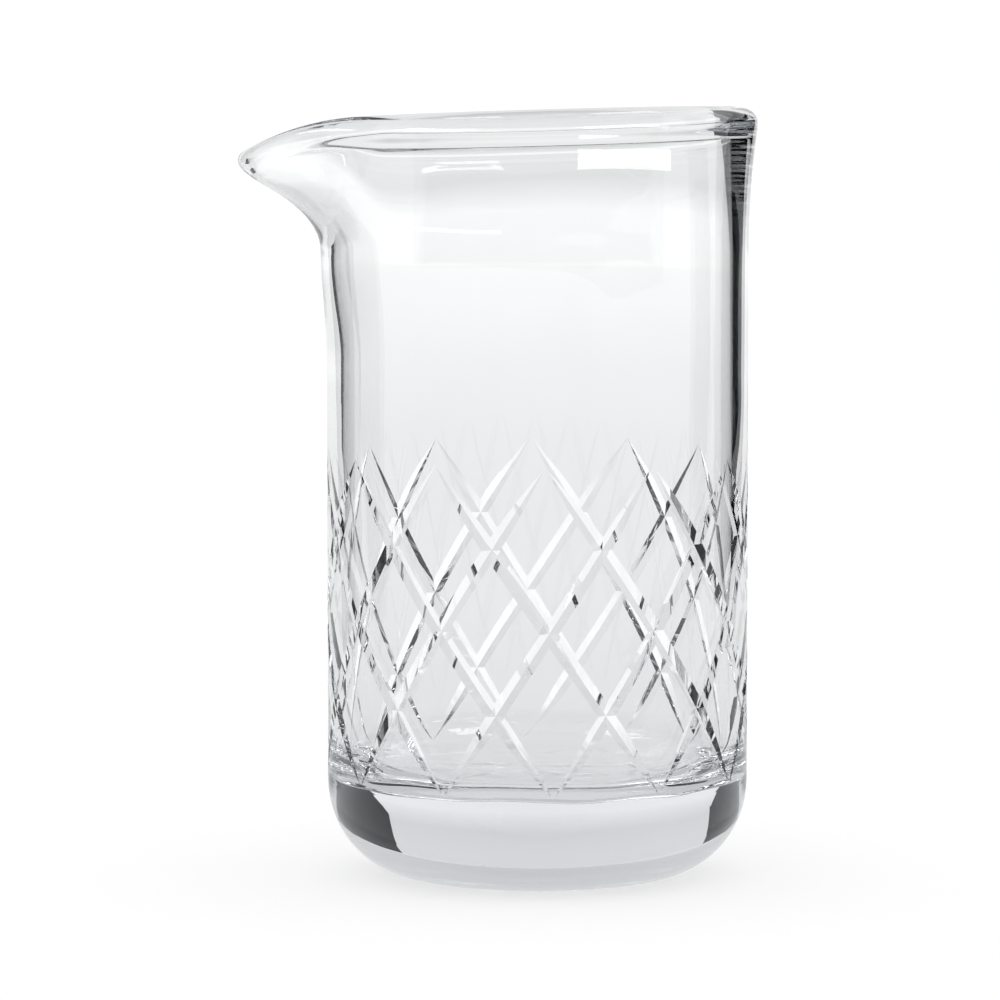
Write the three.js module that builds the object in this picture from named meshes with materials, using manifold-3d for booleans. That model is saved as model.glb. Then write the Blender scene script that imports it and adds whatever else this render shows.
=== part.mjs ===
// Mixing glass for stirring drinks, in millimetres: one seamless piece of thick clear glass.
// +Z is up, the base rests on z = 0 with the axis through the origin, and the spout points to -X.

import * as THREE from 'three';
import { mergeVertices } from 'three/addons/utils/BufferGeometryUtils.js';
import Module from 'manifold-3d';

// Driving dimensions
const RIM_HEIGHT = 159.5;
const BODY_RADIUS = 44;
const FOOT_RADIUS = 25;
const HEEL_HEIGHT = 20.3;
const FLOOR_HEIGHT = 19.5;
const FLOOR_CORNER = 10;
const BORE_RADIUS_LOW = 40.1;
const BORE_RADIUS_MIDDLE = 40.7;
const BORE_RADIUS_HIGH = 40.4;

// Lip: a rounded bead that leans outwards at the top of the wall, with a shallow neck under it inside
const LIP_START = 130;
const LIP_NECK = 153.7;
const LIP_SHOULDER = 157.4;
const LIP_OUTER_RADIUS = 45.9;
const LIP_OUTER_DROP = 3.5;
const LIP_CROWN_RADIUS = 41.7;
const LIP_INNER_RADIUS = 39.6;
const LIP_INNER_DROP = 1.9;
const RIM_TILT = 1.3;

// Spout: the lip pulled out, thinned and dipped on one side, where its inner bead fades away
const SPOUT_REACH = 17;
const SPOUT_DIP = 6.5;
const SPOUT_HALF_ANGLE = THREE.MathUtils.degToRad(47);
const SPOUT_SHARPNESS = 1.5;
const SPOUT_THINNING = 3;
const BEAD_FADE = 1.6;
const SPOUT_SWELL_START = 108;
const SPOUT_SWELL_SHARE = 0.07;
const SPOUT_START = 131;

// Cut band: V grooves of both hands that cross into a lattice of diamonds
const CUT_COUNT = 12;
const CUT_TOP = 88.9;
const CUT_BOTTOM = 21.4;
const CUT_TURN = THREE.MathUtils.degToRad(60);
const CUT_PHASE = THREE.MathUtils.degToRad(1.6);
const CUT_TWIST = THREE.MathUtils.degToRad(2.3);
const CUT_DEPTH = 0.7;
const CUT_HALF_WIDTH = 1.5;
const CUT_TAPER = 0.25;
const CUT_CLEARANCE = 0.9;

// Smoothness of the faceted solid
const ROUND_SEGMENTS = 60;
const CURVE_POINTS = 6;
const WALL_POINTS = 6;
const CLOSE = 1e-4;
const CUT_STEPS = 8;

const wasm = await Module();
wasm.setup();

// Points along a quarter of an ellipse, from one angle in degrees to another.
function quarter(centreX, centreZ, radiusX, radiusZ, from, to) {
  const start = THREE.MathUtils.degToRad(from);
  const end = THREE.MathUtils.degToRad(to);
  return new THREE.EllipseCurve(centreX, centreZ, radiusX, radiusZ, start, end, to < from)
    .getPoints(CURVE_POINTS);
}

// Points between two radii and heights that leave the first and reach the second straight up.
function upright(radiusA, zA, radiusB, zB) {
  const middle = (zA + zB) / 2;
  return new THREE.CubicBezierCurve(
    new THREE.Vector2(radiusA, zA),
    new THREE.Vector2(radiusA, middle),
    new THREE.Vector2(radiusB, middle),
    new THREE.Vector2(radiusB, zB),
  ).getPoints(WALL_POINTS);
}

// Half outline of the vessel, from the middle of the base round the lip to the middle of the floor.
function vesselOutline() {
  const heelWidth = BODY_RADIUS - FOOT_RADIUS;
  const lipOuterZ = RIM_HEIGHT - LIP_OUTER_DROP;
  const lipInnerZ = RIM_HEIGHT - LIP_INNER_DROP;
  const crownOut = LIP_OUTER_RADIUS - LIP_CROWN_RADIUS;
  const crownIn = LIP_CROWN_RADIUS - LIP_INNER_RADIUS;
  const cornerX = BORE_RADIUS_LOW - FLOOR_CORNER;
  const cornerZ = FLOOR_HEIGHT + FLOOR_CORNER;
  const points = [
    new THREE.Vector2(0, 0),
    ...quarter(FOOT_RADIUS, HEEL_HEIGHT, heelWidth, HEEL_HEIGHT, -90, 0),
    ...upright(BODY_RADIUS, SPOUT_SWELL_START, BODY_RADIUS, LIP_START),
    ...upright(BODY_RADIUS, LIP_START, LIP_OUTER_RADIUS, lipOuterZ),
    ...quarter(LIP_CROWN_RADIUS, lipOuterZ, crownOut, LIP_OUTER_DROP, 0, 90),
    ...quarter(LIP_CROWN_RADIUS, lipInnerZ, crownIn, LIP_INNER_DROP, 90, 180),
    ...upright(LIP_INNER_RADIUS, LIP_SHOULDER, BORE_RADIUS_HIGH, LIP_NECK),
    ...upright(BORE_RADIUS_HIGH, LIP_NECK, BORE_RADIUS_MIDDLE, LIP_START),
    ...upright(BORE_RADIUS_MIDDLE, LIP_START, BORE_RADIUS_MIDDLE, SPOUT_SWELL_START),
    new THREE.Vector2(BORE_RADIUS_MIDDLE, CUT_TOP),
    ...quarter(cornerX, cornerZ, FLOOR_CORNER, FLOOR_CORNER, 0, -90),
    new THREE.Vector2(0, FLOOR_HEIGHT),
  ];
  return points.filter((point, i) => i === 0 || point.distanceTo(points[i - 1]) > CLOSE);
}

// How far the glass is pulled outwards in the middle of the spout, at a height up the wall.
function spoutPull(z) {
  const swell = THREE.MathUtils.smoothstep(z, SPOUT_SWELL_START, SPOUT_START);
  const pull = THREE.MathUtils.smoothstep(z, SPOUT_START, RIM_HEIGHT);
  return SPOUT_REACH * (SPOUT_SWELL_SHARE * swell + (1 - SPOUT_SWELL_SHARE) * pull);
}

// How far the inner side of the lip's bead is worn back to the bore, towards the spout.
function beadFade(radius, z, share) {
  const inward = (LIP_CROWN_RADIUS - radius) / (LIP_CROWN_RADIUS - LIP_INNER_RADIUS);
  const height = THREE.MathUtils.smoothstep(z, LIP_NECK, LIP_SHOULDER);
  const relief = (BORE_RADIUS_HIGH - LIP_INNER_RADIUS) * height;
  return relief * THREE.MathUtils.clamp(inward, 0, 1) * Math.min(BEAD_FADE * share, 1);
}

// Moves every vertex of the turned vessel to form the spout and the slightly tilted rim.
function shapeSpoutAndRim(geometry) {
  const position = geometry.getAttribute('position');
  const vertex = new THREE.Vector3();
  for (let i = 0; i < position.count; i += 1) {
    vertex.fromBufferAttribute(position, i);
    const radius = Math.hypot(vertex.x, vertex.y);
    const angle = Math.atan2(vertex.y, -vertex.x);
    const across = Math.min(Math.abs(angle) / SPOUT_HALF_ANGLE, 1);
    const share = Math.cos(across * Math.PI / 2) ** (2 * SPOUT_SHARPNESS);
    const pull = spoutPull(vertex.z) * share;
    const inward = (LIP_OUTER_RADIUS - radius) / (LIP_OUTER_RADIUS - LIP_INNER_RADIUS);
    const thinning = SPOUT_THINNING * (pull / SPOUT_REACH) * THREE.MathUtils.clamp(inward, 0, 1);
    const outward = pull + thinning + beadFade(radius, vertex.z, share);
    const dip = SPOUT_DIP * (pull / SPOUT_REACH) ** 2;
    const tilt = RIM_TILT * (vertex.x / BODY_RADIUS)
      * THREE.MathUtils.smoothstep(vertex.z, LIP_START, RIM_HEIGHT);
    if (radius > 0) {
      const stretch = (radius + outward) / radius;
      vertex.set(vertex.x * stretch, vertex.y * stretch, vertex.z - dip + tilt);
      position.setXYZ(i, vertex.x, vertex.y, vertex.z);
    }
  }
}

// Depth of a groove along its length, as a share of the full depth: it runs out at both ends.
function cutShare(along) {
  const fromEnd = Math.min(along, 1 - along) / CUT_TAPER;
  return Math.sin(Math.min(fromEnd, 1) * Math.PI / 2);
}

// One cutter: a three-sided bar bent along a helix, lifted clear of the wall at both ends.
function grooveCutter(index, hand) {
  const section = new THREE.Shape([
    new THREE.Vector2(0, 0),
    new THREE.Vector2(1, 1),
    new THREE.Vector2(-1, 1),
  ]);
  const bar = new THREE.ExtrudeGeometry(section, { depth: 1, steps: CUT_STEPS, bevelEnabled: false });
  const height = CUT_DEPTH + CUT_CLEARANCE;
  const halfWidth = CUT_HALF_WIDTH * height / CUT_DEPTH;
  const start = CUT_PHASE + 2 * Math.PI * index / CUT_COUNT;
  const turn = hand * CUT_TURN + CUT_TWIST;
  const fall = CUT_TOP - CUT_BOTTOM;
  const run = new THREE.Vector2(turn * BODY_RADIUS, -fall).normalize();
  const position = bar.getAttribute('position');
  for (let i = 0; i < position.count; i += 1) {
    const across = position.getX(i) * halfWidth;
    const along = position.getZ(i);
    const radius = BODY_RADIUS - CUT_DEPTH * cutShare(along) + height * position.getY(i);
    const angle = start + turn * along - across * run.y / BODY_RADIUS;
    const z = CUT_TOP - fall * along + across * run.x;
    position.setXYZ(i, radius * Math.sin(angle), -radius * Math.cos(angle), z);
  }
  return bar;
}

// A closed geometry as a manifold-3d solid.
function toSolid(geometry) {
  const bare = geometry.clone();
  bare.deleteAttribute('normal');
  bare.deleteAttribute('uv');
  const merged = mergeVertices(bare, CLOSE);
  return new wasm.Manifold(new wasm.Mesh({
    numProp: 3,
    vertProperties: merged.getAttribute('position').array,
    triVerts: new Uint32Array(merged.getIndex().array),
  }));
}

// A manifold-3d solid as a geometry with normals.
function toGeometry(solid) {
  const mesh = solid.getMesh();
  const geometry = new THREE.BufferGeometry();
  geometry.setAttribute('position', new THREE.BufferAttribute(mesh.vertProperties, 3));
  geometry.setIndex(new THREE.BufferAttribute(mesh.triVerts, 1));
  geometry.computeVertexNormals();
  return geometry;
}

// The whole vessel: turned, spouted, then cut.
function glassVessel() {
  const blank = new THREE.LatheGeometry(vesselOutline(), ROUND_SEGMENTS);
  blank.rotateX(Math.PI / 2);
  shapeSpoutAndRim(blank);
  let solid = toSolid(blank);
  for (let index = 0; index < CUT_COUNT; index += 1) {
    for (const hand of [1, -1]) {
      solid = solid.subtract(toSolid(grooveCutter(index, hand)));
    }
  }
  const glass = new THREE.MeshStandardMaterial({
    color: 0xe9eeee,
    roughness: 0.04,
    metalness: 0,
    transparent: true,
    opacity: 0.35,
  });
  const mesh = new THREE.Mesh(toGeometry(solid), glass);
  mesh.name = 'glass_vessel';
  return mesh;
}

const mixingGlass = new THREE.Group();
mixingGlass.name = 'mixing_glass';
mixingGlass.add(glassVessel());

export default mixingGlass;
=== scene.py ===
"""Looks of the mixing glass: one seamless piece of clear cut glass on a pale floor, in metres, +Z up."""

import math

import bmesh
import bpy
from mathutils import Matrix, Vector, noise


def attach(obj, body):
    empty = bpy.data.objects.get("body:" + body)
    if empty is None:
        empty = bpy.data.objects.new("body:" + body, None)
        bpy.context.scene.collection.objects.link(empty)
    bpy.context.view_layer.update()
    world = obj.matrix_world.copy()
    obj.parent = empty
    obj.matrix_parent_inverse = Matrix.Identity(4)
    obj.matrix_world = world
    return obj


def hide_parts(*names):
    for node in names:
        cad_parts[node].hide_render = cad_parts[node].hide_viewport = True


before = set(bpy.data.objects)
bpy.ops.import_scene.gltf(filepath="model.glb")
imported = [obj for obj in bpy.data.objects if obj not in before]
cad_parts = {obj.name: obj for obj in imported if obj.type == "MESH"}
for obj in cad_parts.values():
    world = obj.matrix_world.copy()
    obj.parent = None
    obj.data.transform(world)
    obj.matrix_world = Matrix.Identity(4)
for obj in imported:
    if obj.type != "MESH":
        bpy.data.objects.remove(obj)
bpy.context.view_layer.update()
MM = 0.001

# The glass, in millimetres, as the CAD part has it but for the swell and ripple of its inside floor
RIM_HEIGHT = 159.5
BODY_RADIUS = 44.0
FOOT_RADIUS = 25.0
HEEL_HEIGHT = 20.3
FLOOR_HEIGHT = 19.5
FLOOR_CORNER = 10.0
FLOOR_SWELL = 0.7
FLOOR_RIPPLE = 0.5
RIPPLE_LENGTH = 13.0
BORE_RADIUS_LOW = 40.1
BORE_RADIUS_MIDDLE = 40.7
BORE_RADIUS_HIGH = 40.4
LIP_START = 130.0
LIP_SHOULDER = 157.4
LIP_NECK = 153.7
LIP_OUTER_RADIUS = 45.9
LIP_OUTER_DROP = 3.5
LIP_CROWN_RADIUS = 41.7
LIP_INNER_RADIUS = 39.6
LIP_INNER_DROP = 1.9
RIM_TILT = 1.3
SPOUT_REACH = 17.0
SPOUT_DIP = 6.5
SPOUT_HALF_ANGLE = math.radians(47)
SPOUT_SHARPNESS = 1.5
SPOUT_THINNING = 3.0
BEAD_FADE = 1.6
SPOUT_SWELL_START = 108.0
SPOUT_SWELL_SHARE = 0.07
SPOUT_START = 131.0
CUT_COUNT = 12
CUT_TOP = 88.9
CUT_BOTTOM = 21.4
CUT_TURN = math.radians(60)
CUT_PHASE = math.radians(1.6)
CUT_TWIST = math.radians(2.3)
CUT_DEPTH = 0.7
CUT_HALF_WIDTH = 1.5
CUT_TAPER = 0.25
CUT_CLEARANCE = 0.9

# Fineness of the surface
ROUND_SEGMENTS = 240
CURVE_POINTS = 16
WALL_POINTS = 20
CUT_STEPS = 48
CLOSE = 1e-4

# Shading of the cut band: which edges are crisp, how far up and in the band reaches, and which faces are slivers
SHARP_ANGLE = math.radians(20)
BAND_TOP = 100.0
BAND_MARGIN = 0.2
SLIVER_AREA = 1e-8

# Clear glass: its tint and polish vary a little from place to place, and it greys with depth
GLASS_IOR = 1.52
TINT_SCALE = 35.0
TINT_RANGE = (0.3, 0.7)
TINT_LOW = (0.978, 0.983, 0.984, 1)
TINT_HIGH = (0.99, 0.994, 0.994, 1)
ROUGHNESS_HIGH = 0.006
WAVE_SCALE = 55.0
WAVE_HEIGHT = 0.08
DEPTH_TINT = (0.88, 0.885, 0.896, 1)
DEPTH_DENSITY = 28.0

# Camera, in metres and degrees
CAMERA_PLACE = (-0.00785, -1.1597, 0.17985)
CAMERA_DOWN = math.radians(4.99)
CAMERA_LENS = 200.1
CAMERA_REACH = 100

# Studio, in metres
STAGE_SIZE = 12
STAGE_FOOT = -0.0004
FLOOR_GREY = 0.4
FLOOR_GLOW = 0.62
WORLD_GLOW = 1.03
CARD_STEPS = 24
ROOM_RADIUS = 3.0
ROOM_HEIGHT = 1.6
ROOM_SIDE = 105
ROOM_FRONT_GLOW = 0.22
SOFTBOX_DISTANCE = 1.3
SOFTBOX_LOW = 0.9
SOFTBOX_HIGH = 1.5
SOFTBOX_LEFT_RAISE = 1.2
SOFTBOX_STRENGTH = 6.0
WINDOW_LOW = 0.303
WINDOW_HIGH = 0.337
FLAG_DISTANCE = 0.45
FLAG_KNEE = 0.07
FLAG_HEIGHT = 0.3
FLAG_END = 66
FLAG_COLOUR = (0.004, 0.005, 0.006)
SOFTBOX_COLOUR = (1.0, 0.99, 0.97)

# Brightness of the sweep outwards from the glass, and of the backdrop upwards: (share of the reach, level)
SWEEP_REACH = 3.0
SWEEP_NEAR = (0.738, 0.745, 0.757, 1)
SWEEP_FAR = (1.02, 1.02, 1.02, 1)
SWEEP_LEVELS = ((0.1, 0.82), (0.18, 0.865), (0.4, 0.885), (0.6, 0.94), (0.77, 0.985))
SWEEP_CAST = (0.997, 1, 1.007)
ROOM_FOOT = (1.06, 1.06, 1.06, 1)
ROOM_TOP = (0.55, 0.56, 0.58, 1)
ROOM_LEVELS = ((0.06, 1.08), (0.17, 1.1), (0.28, 0.86), (0.4, 0.9), (0.6, 0.9))
ROOM_CAST = (0.998, 1, 1.004)


def smoothstep(value, low, high):
    """0 below low, 1 above high, and a smooth step between them."""
    t = min(max((value - low) / (high - low), 0.0), 1.0)
    return t * t * (3 - 2 * t)


def quarter(centre_x, centre_z, radius_x, radius_z, start, end):
    """Points along a quarter of an ellipse, between two angles in degrees."""
    angles = [math.radians(start + (end - start) * i / CURVE_POINTS) for i in range(CURVE_POINTS + 1)]
    return [(centre_x + radius_x * math.cos(a), centre_z + radius_z * math.sin(a)) for a in angles]


def bezier(*corners):
    """Points along a cubic Bezier curve."""
    points = []
    for i in range(WALL_POINTS + 1):
        t = i / WALL_POINTS
        weights = ((1 - t) ** 3, 3 * t * (1 - t) ** 2, 3 * t * t * (1 - t), t ** 3)
        points.append(tuple(sum(w * c[axis] for w, c in zip(weights, corners)) for axis in (0, 1)))
    return points


def straight(radius_a, z_a, radius_b, z_b):
    """Evenly spaced points along a straight wall."""
    shares = [i / WALL_POINTS for i in range(WALL_POINTS + 1)]
    return [(radius_a + (radius_b - radius_a) * t, z_a + (z_b - z_a) * t) for t in shares]


def vessel_outline():
    """Half outline, from the middle of the base round the lip to the middle of the floor."""
    lip_outer_z = RIM_HEIGHT - LIP_OUTER_DROP
    lip_inner_z = RIM_HEIGHT - LIP_INNER_DROP
    corner_z = FLOOR_HEIGHT + FLOOR_CORNER
    flare = lip_outer_z - LIP_START
    neck = LIP_SHOULDER - LIP_NECK
    wall = LIP_NECK - LIP_START
    points = [
        (0.0, 0.0),
        *quarter(FOOT_RADIUS, HEEL_HEIGHT, BODY_RADIUS - FOOT_RADIUS, HEEL_HEIGHT, -90, 0),
        *straight(BODY_RADIUS, HEEL_HEIGHT, BODY_RADIUS, LIP_START),
        *bezier((BODY_RADIUS, LIP_START), (BODY_RADIUS, LIP_START + 0.6 * flare),
                (LIP_OUTER_RADIUS - 0.3, LIP_START + 0.88 * flare), (LIP_OUTER_RADIUS, lip_outer_z)),
        *quarter(LIP_CROWN_RADIUS, lip_outer_z, LIP_OUTER_RADIUS - LIP_CROWN_RADIUS, LIP_OUTER_DROP, 0, 90),
        *quarter(LIP_CROWN_RADIUS, lip_inner_z, LIP_CROWN_RADIUS - LIP_INNER_RADIUS, LIP_INNER_DROP, 90, 180),
        *bezier((LIP_INNER_RADIUS, LIP_SHOULDER), (LIP_INNER_RADIUS, LIP_SHOULDER - 0.5 * neck),
                (BORE_RADIUS_HIGH, LIP_NECK + 0.5 * neck), (BORE_RADIUS_HIGH, LIP_NECK)),
        *bezier((BORE_RADIUS_HIGH, LIP_NECK), (BORE_RADIUS_HIGH, LIP_NECK - 0.4 * wall),
                (BORE_RADIUS_MIDDLE, LIP_START + 0.2 * wall), (BORE_RADIUS_MIDDLE, LIP_START)),
        *straight(BORE_RADIUS_MIDDLE, LIP_START, BORE_RADIUS_MIDDLE, CUT_TOP),
        *straight(BORE_RADIUS_MIDDLE, CUT_TOP, BORE_RADIUS_LOW, corner_z),
        *quarter(BORE_RADIUS_LOW - FLOOR_CORNER, corner_z, FLOOR_CORNER, FLOOR_CORNER, 0, -90),
        *straight(BORE_RADIUS_LOW - FLOOR_CORNER, FLOOR_HEIGHT, 0.0, FLOOR_HEIGHT),
    ]
    kept = points[:1]
    for point in points[1:]:
        if math.dist(point, kept[-1]) > CLOSE:
            kept.append(point)
    return kept


def spout_pull(z):
    """How far the glass is pulled outwards in the middle of the spout, at a height up the wall."""
    swell = smoothstep(z, SPOUT_SWELL_START, SPOUT_START)
    pull = smoothstep(z, SPOUT_START, RIM_HEIGHT)
    return SPOUT_REACH * (SPOUT_SWELL_SHARE * swell + (1 - SPOUT_SWELL_SHARE) * pull)


def bead_fade(radius, z, share):
    """How far the inner side of the rim's bead is worn back to the bore, towards the spout."""
    inward = (LIP_CROWN_RADIUS - radius) / (LIP_CROWN_RADIUS - LIP_INNER_RADIUS)
    relief = (BORE_RADIUS_HIGH - LIP_INNER_RADIUS) * smoothstep(z, LIP_NECK, LIP_SHOULDER)
    return relief * min(max(inward, 0.0), 1.0) * min(BEAD_FADE * share, 1.0)


def floor_ripple(x, y, radius, z):
    """How far the pressed inside floor stands above its mean height: it swells in the middle and ripples."""
    near_floor = 1 - smoothstep(z, FLOOR_HEIGHT, FLOOR_HEIGHT + FLOOR_CORNER)
    if z < FLOOR_HEIGHT - CLOSE or near_floor == 0:
        return 0.0
    swell = FLOOR_SWELL * (1 - smoothstep(radius, 0.0, BORE_RADIUS_LOW - FLOOR_CORNER))
    ripple = FLOOR_RIPPLE * noise.noise(Vector((x, y, 0)) / RIPPLE_LENGTH)
    return near_floor * (swell + ripple)


def shaped(radius, z, azimuth):
    """The place of a point of the turned vessel once the spout and the tilted rim are formed."""
    x = radius * math.sin(azimuth)
    y = -radius * math.cos(azimuth)
    across = min(abs(math.atan2(y, -x)) / SPOUT_HALF_ANGLE, 1.0)
    share = math.cos(across * math.pi / 2) ** (2 * SPOUT_SHARPNESS)
    pull = spout_pull(z) * share
    inward = (LIP_OUTER_RADIUS - radius) / (LIP_OUTER_RADIUS - LIP_INNER_RADIUS)
    thinning = SPOUT_THINNING * pull / SPOUT_REACH * min(max(inward, 0.0), 1.0)
    outward = pull + thinning + bead_fade(radius, z, share)
    tilt = RIM_TILT * (x / BODY_RADIUS) * smoothstep(z, LIP_START, RIM_HEIGHT)
    stretch = (radius + outward) / radius if radius > 0 else 1.0
    dip = SPOUT_DIP * (pull / SPOUT_REACH) ** 2
    rise = floor_ripple(x, y, radius, z) if radius < BORE_RADIUS_MIDDLE else 0.0
    return Vector((x * stretch, y * stretch, z - dip + tilt + rise)) * MM


def turned_vessel():
    """The uncut vessel as a closed mesh."""
    outline = vessel_outline()
    bm = bmesh.new()
    bottom = bm.verts.new(shaped(*outline[0], 0.0))
    top = bm.verts.new(shaped(*outline[-1], 0.0))
    rings = []
    for radius, z in outline[1:-1]:
        azimuths = [2 * math.pi * i / ROUND_SEGMENTS for i in range(ROUND_SEGMENTS)]
        rings.append([bm.verts.new(shaped(radius, z, azimuth)) for azimuth in azimuths])
    for i in range(ROUND_SEGMENTS):
        j = (i + 1) % ROUND_SEGMENTS
        bm.faces.new((bottom, rings[0][j], rings[0][i]))
        for low, high in zip(rings, rings[1:]):
            bm.faces.new((low[i], low[j], high[j], high[i]))
        bm.faces.new((top, rings[-1][i], rings[-1][j]))
    mesh = bpy.data.meshes.new("turned_vessel")
    bm.to_mesh(mesh)
    bm.free()
    return mesh


def cut_share(along):
    """Depth of a groove along its length, as a share of the full depth: it runs out at both ends."""
    from_end = min(along, 1 - along) / CUT_TAPER
    return math.sin(min(from_end, 1.0) * math.pi / 2)


def groove_bars(hand):
    """The three-sided bars that cut the grooves of one hand, as one mesh."""
    height = CUT_DEPTH + CUT_CLEARANCE
    half_width = CUT_HALF_WIDTH * height / CUT_DEPTH
    turn = hand * CUT_TURN + CUT_TWIST
    fall = CUT_TOP - CUT_BOTTOM
    run = Vector((turn * BODY_RADIUS, -fall)).normalized()
    section = [(0.0, 0.0), (half_width, height), (-half_width, height)]
    bm = bmesh.new()
    for index in range(CUT_COUNT):
        start = CUT_PHASE + 2 * math.pi * index / CUT_COUNT
        rings = []
        for step in range(CUT_STEPS + 1):
            along = step / CUT_STEPS
            ring = []
            for across, up in section:
                radius = BODY_RADIUS - CUT_DEPTH * cut_share(along) + up
                azimuth = start + turn * along - across * run.y / BODY_RADIUS
                z = CUT_TOP - fall * along + across * run.x
                place = Vector((radius * math.sin(azimuth), -radius * math.cos(azimuth), z))
                ring.append(bm.verts.new(place * MM))
            rings.append(ring)
        for first, second in zip(rings, rings[1:]):
            for a in range(3):
                b = (a + 1) % 3
                bm.faces.new((first[a], first[b], second[b], second[a]))
        bm.faces.new(rings[0][::-1])
        bm.faces.new(rings[-1])
    bmesh.ops.recalc_face_normals(bm, faces=bm.faces)
    mesh = bpy.data.meshes.new("groove_bars")
    bm.to_mesh(mesh)
    bm.free()
    return mesh


def cut_vessel():
    """The vessel with its grooves cut, as one object."""
    blank = bpy.data.objects.new("blank", turned_vessel())
    bpy.context.scene.collection.objects.link(blank)
    bars = []
    for hand in (1, -1):
        bar = bpy.data.objects.new("bars", groove_bars(hand))
        bpy.context.scene.collection.objects.link(bar)
        bars.append(bar)
        cut = blank.modifiers.new("cut", "BOOLEAN")
        cut.operation = "DIFFERENCE"
        cut.solver = "MANIFOLD"
        cut.object = bar
    depsgraph = bpy.context.evaluated_depsgraph_get()
    mesh = bpy.data.meshes.new_from_object(blank.evaluated_get(depsgraph))
    mesh.name = "mixing_glass"
    for scratch in (blank, *bars):
        old = scratch.data
        bpy.data.objects.remove(scratch)
        bpy.data.meshes.remove(old)
    glass = bpy.data.objects.new("mixing_glass", mesh)
    bpy.context.scene.collection.objects.link(glass)
    return glass


def band_normal(centre, place):
    """The true normal at a place in the cut band, on the surface that holds the face with this centre."""
    out = Vector((place.x, place.y, 0)).normalized()
    around = Vector((-out.y, out.x, 0))
    fall = CUT_TOP - CUT_BOTTOM
    azimuth = math.atan2(centre.x, -centre.y)
    pitch = 2 * math.pi / CUT_COUNT
    deepest = CLOSE
    normal = out
    for hand in (1, -1):
        turn = hand * CUT_TURN + CUT_TWIST
        length = math.hypot(turn * BODY_RADIUS, fall)
        along = (CUT_TOP - centre.z / MM) / fall
        offset = azimuth - CUT_PHASE - turn * along
        offset -= pitch * round(offset / pitch)
        across = offset * BODY_RADIUS * fall / length
        along += offset * BODY_RADIUS * turn * BODY_RADIUS / length ** 2
        if not 0 < along < 1:
            continue
        depth = CUT_DEPTH * cut_share(along) - abs(across) * CUT_DEPTH / CUT_HALF_WIDTH
        if depth > deepest:
            deepest = depth
            step = 0.001
            change = (cut_share(min(along + step, 1)) - cut_share(max(along - step, 0))) / (2 * step)
            run = (around * turn * BODY_RADIUS + Vector((0, 0, -fall))) / length
            slope = math.copysign(CUT_DEPTH / CUT_HALF_WIDTH, across)
            normal = (out - out.cross(run) * slope + run * (CUT_DEPTH * change / length)).normalized()
    return normal


def smooth_surface(mesh):
    """Smooth shading with crisp groove edges, and true normals on the cut band's wall and grooves."""
    mesh.polygons.foreach_set("use_smooth", [True] * len(mesh.polygons))
    mesh.set_sharp_from_angle(angle=SHARP_ANGLE)
    low = HEEL_HEIGHT * MM
    high = BAND_TOP * MM
    wall = (BODY_RADIUS - CUT_DEPTH - BAND_MARGIN) * MM
    normals = [Vector((0, 0, 0))] * len(mesh.loops)
    for polygon in mesh.polygons:
        centre = polygon.center
        if not low < centre.z < high or math.hypot(centre.x, centre.y) < wall:
            continue
        out = Vector((centre.x, centre.y, 0)).normalized()
        on_wall = polygon.area > SLIVER_AREA and polygon.normal.dot(out) > math.cos(SHARP_ANGLE / 2)
        for loop in polygon.loop_indices:
            place = mesh.vertices[mesh.loops[loop].vertex_index].co
            if on_wall:
                normals[loop] = Vector((place.x, place.y, 0)).normalized()
            else:
                normals[loop] = band_normal(centre, place)
    mesh.normals_split_custom_set(normals)


def glass_material():
    """Clear glass with a faint uneven tint and slight waviness, which greys with depth."""
    material = bpy.data.materials.new("clear_glass")
    material.use_nodes = True
    nodes = material.node_tree.nodes
    links = material.node_tree.links
    shader = nodes["Principled BSDF"]
    shader.inputs["Transmission Weight"].default_value = 1.0
    shader.inputs["IOR"].default_value = GLASS_IOR

    coordinates = nodes.new("ShaderNodeTexCoord")
    cloud = nodes.new("ShaderNodeTexNoise")
    cloud.inputs["Scale"].default_value = TINT_SCALE
    cloud.inputs["Detail"].default_value = 1.0
    tint = nodes.new("ShaderNodeValToRGB")
    for element, place, colour in zip(tint.color_ramp.elements, TINT_RANGE, (TINT_LOW, TINT_HIGH)):
        element.position = place
        element.color = colour
    polish = nodes.new("ShaderNodeMapRange")
    polish.inputs["From Min"].default_value = TINT_RANGE[0]
    polish.inputs["From Max"].default_value = TINT_RANGE[1]
    polish.inputs["To Max"].default_value = ROUGHNESS_HIGH
    wave = nodes.new("ShaderNodeTexNoise")
    wave.inputs["Scale"].default_value = WAVE_SCALE
    wave.inputs["Detail"].default_value = 0.0
    bump = nodes.new("ShaderNodeBump")
    bump.inputs["Strength"].default_value = 1.0
    bump.inputs["Distance"].default_value = WAVE_HEIGHT * MM
    depth = nodes.new("ShaderNodeVolumeAbsorption")
    depth.inputs["Color"].default_value = DEPTH_TINT
    depth.inputs["Density"].default_value = DEPTH_DENSITY
    links.new(coordinates.outputs["Object"], cloud.inputs["Vector"])
    links.new(coordinates.outputs["Object"], wave.inputs["Vector"])
    links.new(cloud.outputs["Fac"], tint.inputs["Fac"])
    links.new(cloud.outputs["Fac"], polish.inputs["Value"])
    links.new(wave.outputs["Fac"], bump.inputs["Height"])
    links.new(tint.outputs["Color"], shader.inputs["Base Color"])
    links.new(polish.outputs["Result"], shader.inputs["Roughness"])
    links.new(bump.outputs["Normal"], shader.inputs["Normal"])
    links.new(depth.outputs["Volume"], nodes["Material Output"].inputs["Volume"])
    return material


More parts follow.
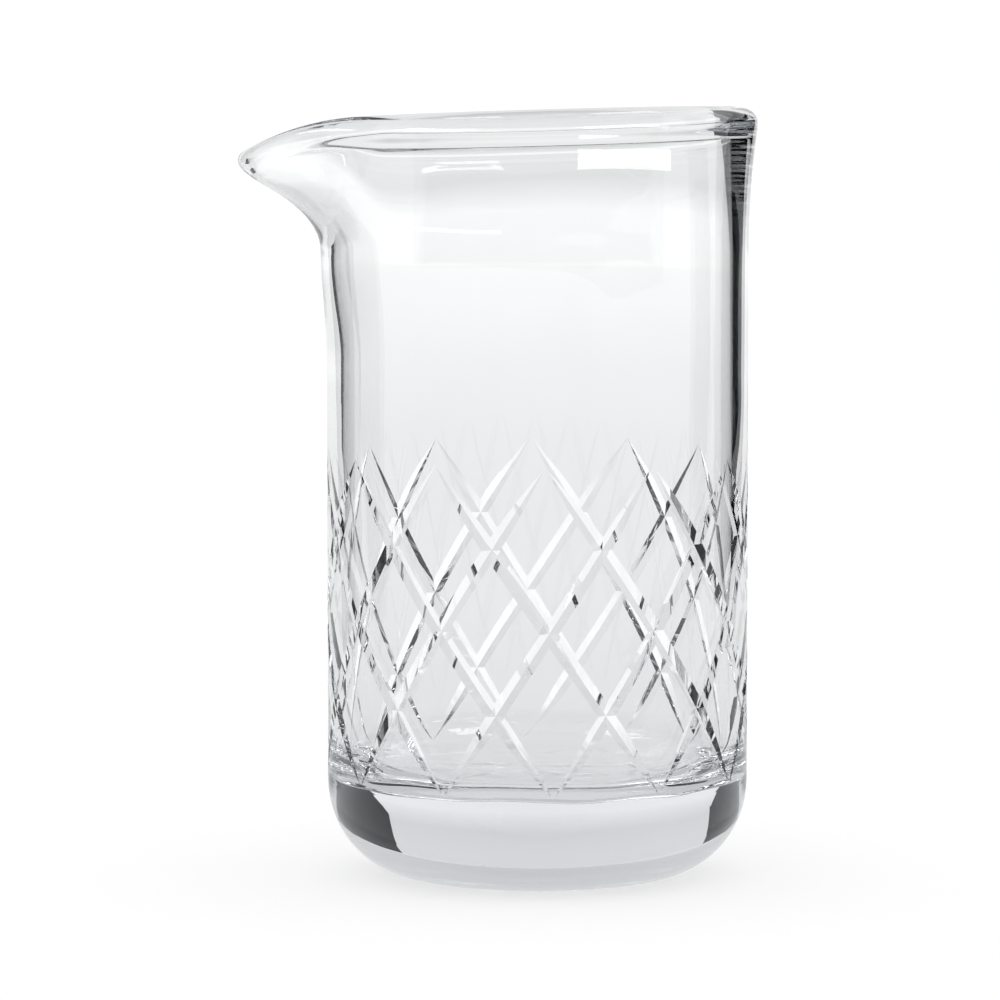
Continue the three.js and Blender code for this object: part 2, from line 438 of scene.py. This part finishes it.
def emission_material(name, colour, strength):
    """A surface that only gives off light."""
    material = bpy.data.materials.new(name)
    material.use_nodes = True
    nodes = material.node_tree.nodes
    nodes.clear()
    output = nodes.new("ShaderNodeOutputMaterial")
    emission = nodes.new("ShaderNodeEmission")
    emission.inputs["Color"].default_value = (*colour, 1)
    emission.inputs["Strength"].default_value = strength
    material.node_tree.links.new(emission.outputs[0], output.inputs["Surface"])
    return material


def arc_card(name, distance, start, end, low, high, material, lean=0.0):
    """An upright curved card round the glass, hidden from the camera: angles in degrees from +Y towards +X.

    lean is how far the top of its starting edge stands from the foot, in degrees.
    """
    bm = bmesh.new()
    columns = []
    for i in range(CARD_STEPS + 1):
        column = []
        for height, first in ((low, start), (high, start + lean)):
            angle = math.radians(first + (end - first) * i / CARD_STEPS)
            column.append(bm.verts.new((distance * math.sin(angle), distance * math.cos(angle), height)))
        columns.append(column)
    for (a, b), (c, d) in zip(columns, columns[1:]):
        bm.faces.new((a, c, d, b))
    mesh = bpy.data.meshes.new(name)
    bm.to_mesh(mesh)
    bm.free()
    mesh.materials.append(material)
    card = bpy.data.objects.new(name, mesh)
    bpy.context.scene.collection.objects.link(card)
    card.visible_camera = False
    card.visible_shadow = False
    card.visible_diffuse = False


def plane(name, height, material):
    """A wide level sheet under the glass."""
    half = STAGE_SIZE / 2
    corners = [(-half, -half, height), (half, -half, height), (half, half, height), (-half, half, height)]
    mesh = bpy.data.meshes.new(name)
    mesh.from_pydata(corners, [], [(0, 1, 2, 3)])
    mesh.materials.append(material)
    obj = bpy.data.objects.new(name, mesh)
    bpy.context.scene.collection.objects.link(obj)
    return obj


def graded_material(name, low, high, levels, cast, reach, measure):
    """Light that changes along a distance: from low to high over the reach, through the levels between.

    measure is a function that adds the nodes for the distance and returns their output.
    """
    material = emission_material(name, (1, 1, 1), 1.0)
    nodes = material.node_tree.nodes
    links = material.node_tree.links
    coordinates = nodes.new("ShaderNodeTexCoord")
    scale = nodes.new("ShaderNodeMath")
    scale.operation = "DIVIDE"
    scale.inputs[1].default_value = reach
    ramp = nodes.new("ShaderNodeValToRGB")
    links.new(measure(nodes, links, coordinates.outputs["Object"]), scale.inputs[0])
    links.new(scale.outputs[0], ramp.inputs["Fac"])
    links.new(ramp.outputs["Color"], nodes["Emission"].inputs["Color"])
    first, last = ramp.color_ramp.elements
    first.color = low
    last.color = high
    for place, level in levels:
        element = ramp.color_ramp.elements.new(place)
        element.color = (*(level * share for share in cast), 1)
    return material


def length_output(nodes, links, place):
    """Distance from the object's origin."""
    distance = nodes.new("ShaderNodeVectorMath")
    distance.operation = "LENGTH"
    links.new(place, distance.inputs[0])
    return distance.outputs["Value"]


def height_output(nodes, links, place):
    """Height above the object's origin."""
    split = nodes.new("ShaderNodeSeparateXYZ")
    links.new(place, split.inputs[0])
    return split.outputs["Z"]


def make_floor():
    """A white floor, and under it the sweep that the glass looks through to, paler with distance."""
    material = bpy.data.materials.new("floor_white")
    material.use_nodes = True
    shader = material.node_tree.nodes["Principled BSDF"]
    shader.inputs["Base Color"].default_value = (FLOOR_GREY, FLOOR_GREY, FLOOR_GREY, 1)
    shader.inputs["Roughness"].default_value = 1.0
    shader.inputs["Specular IOR Level"].default_value = 0.0
    shader.inputs["Emission Color"].default_value = (1, 1, 1, 1)
    shader.inputs["Emission Strength"].default_value = FLOOR_GLOW
    floor = plane("floor", 0, material)
    floor.visible_transmission = False
    floor.visible_glossy = False

    pale = graded_material("sweep_pale", SWEEP_NEAR, SWEEP_FAR, SWEEP_LEVELS, SWEEP_CAST, SWEEP_REACH,
                           length_output)
    sweep = plane("sweep", STAGE_FOOT, pale)
    sweep.visible_camera = False
    sweep.visible_diffuse = False
    sweep.visible_shadow = False


def make_room():
    """A round backdrop, brightest low down, and a dim room in front."""
    white = graded_material("room_white", ROOM_FOOT, ROOM_TOP, ROOM_LEVELS, ROOM_CAST, ROOM_HEIGHT,
                            height_output)
    dim = emission_material("room_dim", (1, 1, 1), ROOM_FRONT_GLOW)
    arc_card("room_back", ROOM_RADIUS, -ROOM_SIDE, ROOM_SIDE, STAGE_FOOT, ROOM_HEIGHT, white)
    arc_card("room_front", ROOM_RADIUS, ROOM_SIDE, 360 - ROOM_SIDE, STAGE_FOOT, ROOM_HEIGHT, dim)


def make_flags():
    """Black cards behind the glass at both sides: the dark lines of its walls and the patches in its base."""
    black = emission_material("flag_black", FLAG_COLOUR, 1.0)
    arc_card("flag_left_foot", FLAG_DISTANCE, -51, -FLAG_END, STAGE_FOOT, FLAG_KNEE, black, 10)
    arc_card("flag_left", FLAG_DISTANCE, -40.2, -FLAG_END, FLAG_KNEE, FLAG_HEIGHT, black)
    arc_card("flag_right_foot", FLAG_DISTANCE, 48, FLAG_END, STAGE_FOOT, FLAG_KNEE, black, -17)
    arc_card("flag_right", FLAG_DISTANCE, 31, FLAG_END, FLAG_KNEE, FLAG_HEIGHT, black, -8)


def make_softboxes():
    """Soft boxes in front of the glass: the highlights on its lip and upper wall."""
    bright = emission_material("softbox_white", SOFTBOX_COLOUR, SOFTBOX_STRENGTH)
    left_low = SOFTBOX_LEFT_RAISE * SOFTBOX_LOW
    left_high = SOFTBOX_LEFT_RAISE * SOFTBOX_HIGH
    arc_card("softbox_left", SOFTBOX_DISTANCE, 222, 278, left_low, left_high, bright)
    arc_card("softbox_right", SOFTBOX_DISTANCE, 112, 156, SOFTBOX_LOW, SOFTBOX_HIGH, bright)
    arc_card("softbox_window", SOFTBOX_DISTANCE, 101, 158.5, WINDOW_LOW, WINDOW_HIGH, bright)


def make_world():
    """White surroundings beyond the room."""
    world = bpy.data.worlds.new("studio")
    world.use_nodes = True
    background = world.node_tree.nodes["Background"]
    background.inputs["Color"].default_value = (1, 1, 1, 1)
    background.inputs["Strength"].default_value = WORLD_GLOW
    bpy.context.scene.world = world


def make_camera():
    """The camera, a little above the rim and looking down at the front of the glass."""
    data = bpy.data.cameras.new("camera")
    data.lens = CAMERA_LENS
    data.clip_end = CAMERA_REACH
    camera = bpy.data.objects.new("camera", data)
    camera.location = CAMERA_PLACE
    camera.rotation_euler = (math.pi / 2 - CAMERA_DOWN, 0, 0)
    bpy.context.scene.collection.objects.link(camera)
    bpy.context.scene.camera = camera


make_camera()
make_world()
make_floor()
make_flags()
make_softboxes()
make_room()

glass = cut_vessel()
smooth_surface(glass.data)
glass.data.materials.clear()
glass.data.materials.append(glass_material())
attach(glass, "root")
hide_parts("glass_vessel")

scene = bpy.context.scene
scene.view_settings.view_transform = "Standard"
scene.cycles.max_bounces = 32
scene.cycles.transmission_bounces = 32
scene.cycles.glossy_bounces = 16
